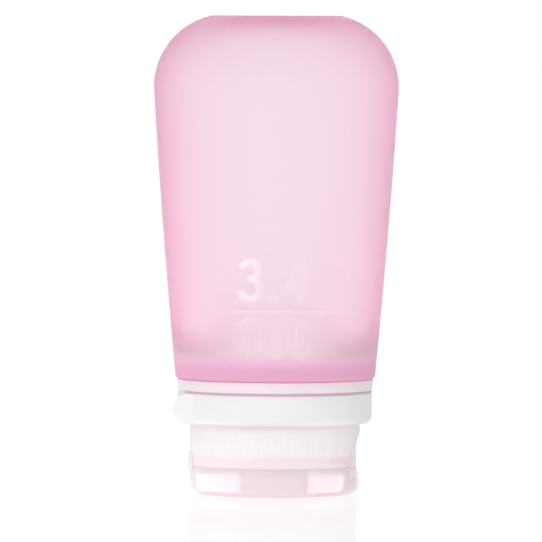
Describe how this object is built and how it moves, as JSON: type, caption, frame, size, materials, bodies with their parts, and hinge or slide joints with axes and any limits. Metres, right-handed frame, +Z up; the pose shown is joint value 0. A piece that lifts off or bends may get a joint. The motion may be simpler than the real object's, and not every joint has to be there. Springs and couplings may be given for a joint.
{
  "type": "travel silicone bottle",
  "caption": "Soft pink silicone squeeze bottle standing on its flip-top screw cap, with a rigid collar and a swing-out hanging strap.",
  "frame": {"origin": "middle of the lid's flat outer face, which the bottle stands on", "axes": "+Z up the bottle's own axis to its closed end; the lid's hinge is at -X, the thumb scoop at +X, and the raised figures face -Y"},
  "size_m": [0.0502, 0.0502, 0.098],
  "materials": {
    "pink_silicone": "matt translucent silicone",
    "clear_silicone": "matt natural silicone",
    "white_polypropylene": "satin moulded",
    "natural_polypropylene": "satin moulded",
    "frosted_polypropylene": "fine frosted moulding",
    "clear_polypropylene": "glossy clear moulding",
    "pin_steel": "drawn wire"
  },
  "bodies": {
    "bottle": {"silicone_bottle": "pink_silicone", "threaded_mouth": "natural_polypropylene", "collar_ring": "white_polypropylene", "strap_pin": "pin_steel"},
    "strap": {"hang_strap": "white_polypropylene"},
    "gasket": {"mouth_gasket": "clear_silicone"},
    "cap": {"cap_shell": "frosted_polypropylene", "hinge_leaf_cap": "frosted_polypropylene", "no_drip_valve": "pink_silicone", "valve_retainer": "natural_polypropylene"},
    "lid": {"flip_lid": "clear_polypropylene", "hinge_leaf_lid": "clear_polypropylene", "lid_plug": "pink_silicone"}
  },
  "joints": [
    {"name": "strap_swing", "type": "hinge", "parent": "bottle", "child": "strap", "pos_m": [0.01771, 0.00875, 0.0176], "axis": [0, 0, 1], "range_deg": [0, 120]},
    {"name": "cap_lift", "type": "slide", "parent": "bottle", "child": "gasket", "axis": [0, 0, -1], "range_m": [0, 0.0075]},
    {"name": "cap_turn", "type": "hinge", "parent": "gasket", "child": "cap", "pos_m": [0, 0, 0.0106], "axis": [0, 0, -1], "range_deg": [0, 900]},
    {"name": "lid_open", "type": "hinge", "parent": "cap", "child": "lid", "pos_m": [-0.01795, 0, 0.00515], "axis": [0, 1, 0], "range_deg": [0, 125]}
  ],
  "couplings": [
    {"joint": "cap_lift", "follows": "cap_turn", "m_per_rad": 0.00047746}
  ]
}
